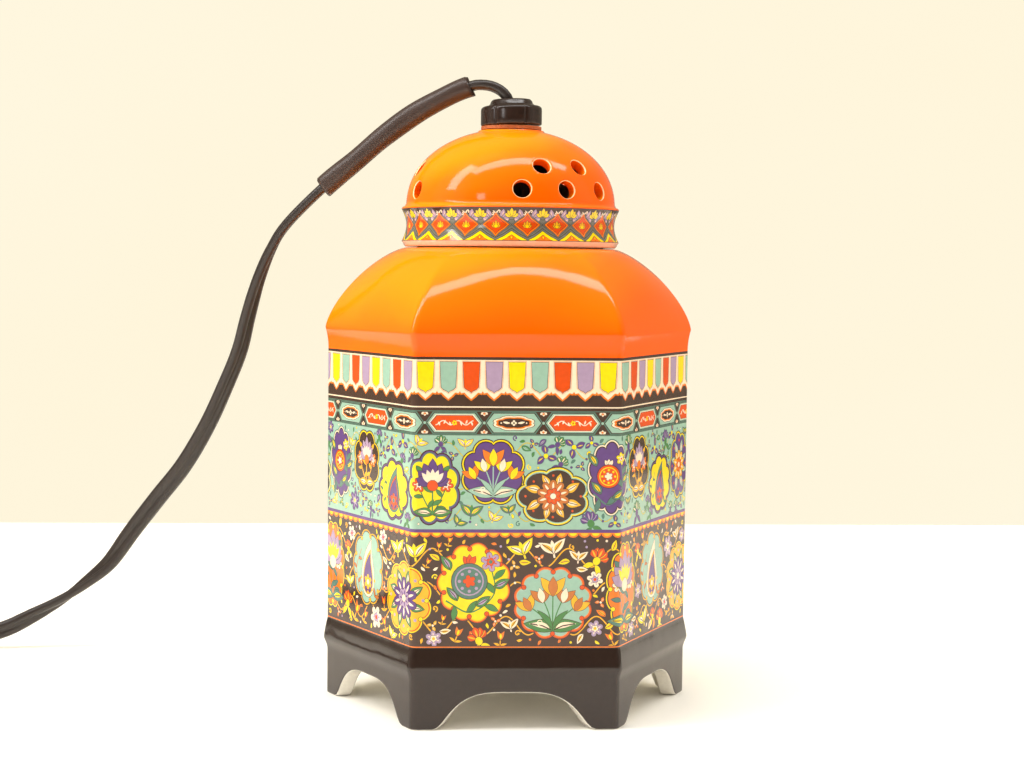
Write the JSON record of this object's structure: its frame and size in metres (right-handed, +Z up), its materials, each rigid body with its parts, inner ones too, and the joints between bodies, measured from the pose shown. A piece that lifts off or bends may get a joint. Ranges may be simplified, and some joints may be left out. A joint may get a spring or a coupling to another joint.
{
  "type": "porcelain fragrance lamp",
  "caption": "Hexagonal porcelain jar lamp with a vented lid that carries a small hanging bulb holder, with its flex and plug.",
  "frame": {"origin": "middle of the base, on the surface that the six feet stand on, below the axis of the lid", "axes": "+Z up along the lid's axis; -Y out of the front face of the hexagon; +X to the right seen from the front"},
  "size_m": [0.3136, 0.1173, 0.1844],
  "materials": {
    "porcelain_jar": "gloss",
    "porcelain_lid": "gloss",
    "black_phenolic": "gloss",
    "brown_fibre": "matt",
    "brass": "satin",
    "zinc_steel": "satin",
    "copper": "satin",
    "bulb_metal": "satin",
    "bulb_glass": "frosted",
    "tungsten": "satin",
    "black_pvc": "satin"
  },
  "bodies": {
    "jar_body": {"jar": "porcelain_jar", "flex_coil": "black_pvc", "coil_tie": "black_pvc", "flex_tail": "black_pvc", "plug_body": "black_pvc", "plug_blade_live": "brass", "plug_blade_neutral": "brass"},
    "lid_body": {"lid": "porcelain_lid", "fibre_washer": "brown_fibre", "threaded_nipple": "brass", "inner_washer": "zinc_steel", "lock_nut": "zinc_steel", "holder_cap": "black_phenolic", "holder_skirt": "black_phenolic", "terminal_block": "black_phenolic", "socket_screw_shell": "brass", "centre_contact": "brass", "terminal_screw_live": "brass", "terminal_screw_neutral": "brass", "wire_live": "copper", "wire_neutral": "copper", "flex_inner": "black_pvc", "flex_free": "black_pvc", "flex_sleeve": "black_pvc"},
    "nut_body": {"cap_nut": "black_phenolic"},
    "bulb_body": {"bulb_base": "bulb_metal", "bulb_insulator": "black_phenolic", "bulb_tip_contact": "brass", "bulb_glass": "bulb_glass", "bulb_stem": "bulb_glass", "bulb_lead_a": "zinc_steel", "bulb_lead_b": "zinc_steel", "bulb_filament": "tungsten"}
  },
  "joints": [
    {"name": "lid_lift", "type": "slide", "parent": "jar_body", "child": "lid_body", "axis": [0, 0, 1], "range_m": [0, 0.07]},
    {"name": "cap_nut_turn", "type": "hinge", "parent": "lid_body", "child": "nut_body", "pos_m": [0, 0, 0.1745], "axis": [0, 0, 1], "range_deg": [0, 1800]},
    {"name": "bulb_turn", "type": "hinge", "parent": "lid_body", "child": "bulb_body", "pos_m": [0, 0, 0.136], "axis": [0, 0, -1], "range_deg": [0, 900]}
  ]
}
